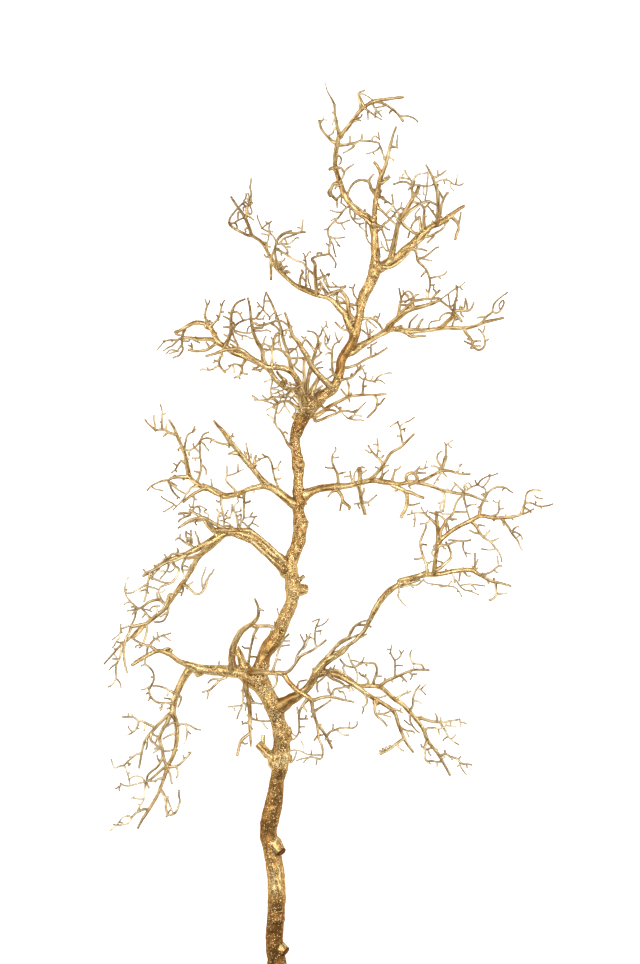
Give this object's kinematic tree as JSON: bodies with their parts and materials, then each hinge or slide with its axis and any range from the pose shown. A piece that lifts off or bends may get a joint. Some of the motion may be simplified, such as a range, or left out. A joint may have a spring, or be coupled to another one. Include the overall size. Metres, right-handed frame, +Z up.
{
  "type": "manzanita branch",
  "caption": "Dried manzanita branch painted gold: a sawn stem that forks into crooked limbs with fine, blunt-cut twigs. It lies flat on a surface.",
  "frame": {"origin": "on the surface that the branch lies on, under the middle of its bounding box", "axes": "+Y from the sawn butt towards the tips, +Z up off the surface, +X to the right as seen from above"},
  "size_m": [0.4493, 0.9273, 0.1343],
  "materials": {
    "butt_wood": "bronze brown under metallic gold paint with coarse gold glitter",
    "limb_wood": "metallic gold paint with glitter",
    "twig_wood": "pale metallic gold paint with fine glitter"
  },
  "bodies": {
    "root": {"trunk_foot": "butt_wood", "trunk_bend": "butt_wood", "trunk_middle": "butt_wood", "trunk_upper": "butt_wood", "crown_stem": "butt_wood", "crown_fork": "butt_wood", "leader_base": "butt_wood", "low_left_limb": "limb_wood", "low_left_hook": "limb_wood", "right_limb": "limb_wood", "low_right_limb": "limb_wood", "mid_right_limb": "limb_wood", "mid_left_limb": "limb_wood", "mid_left_upper": "limb_wood", "high_left_limb": "limb_wood", "crown_left_limb": "limb_wood", "peak_left_limb": "limb_wood", "peak_right_limb": "limb_wood", "crown_right_limb": "limb_wood", "leader_left": "limb_wood", "leader_right": "limb_wood", "low_left_rise": "twig_wood", "low_left_outer": "twig_wood", "low_left_curl": "twig_wood", "front_hanger": "twig_wood", "front_limb": "twig_wood", "front_limb_rise": "twig_wood", "right_limb_reach": "twig_wood", "right_limb_spire": "twig_wood", "right_limb_claw": "twig_wood", "low_right_foot": "twig_wood", "low_right_fork": "twig_wood", "mid_right_fork": "twig_wood", "mid_right_spur": "twig_wood", "mid_left_drape": "twig_wood", "mid_left_fan": "twig_wood", "high_left_prong": "twig_wood", "high_left_spear": "twig_wood", "creeper": "twig_wood", "crown_left_over": "twig_wood", "crown_left_far": "twig_wood", "crown_left_spire": "twig_wood", "crown_left_spike": "twig_wood", "inner_spike": "twig_wood", "inner_spire": "twig_wood", "inner_arch": "twig_wood", "inner_fork": "twig_wood", "crown_right_low": "twig_wood", "peak_left_tip": "twig_wood", "peak_left_spray": "twig_wood", "peak_left_post": "twig_wood", "leader_left_arm": "twig_wood", "leader_left_droop": "twig_wood", "peak_right_spire": "twig_wood", "peak_right_mast": "twig_wood", "peak_right_hanger": "twig_wood", "crown_right_rise": "twig_wood", "crown_right_crest": "twig_wood", "crown_right_claw": "twig_wood"}
  },
  "joints": []
}
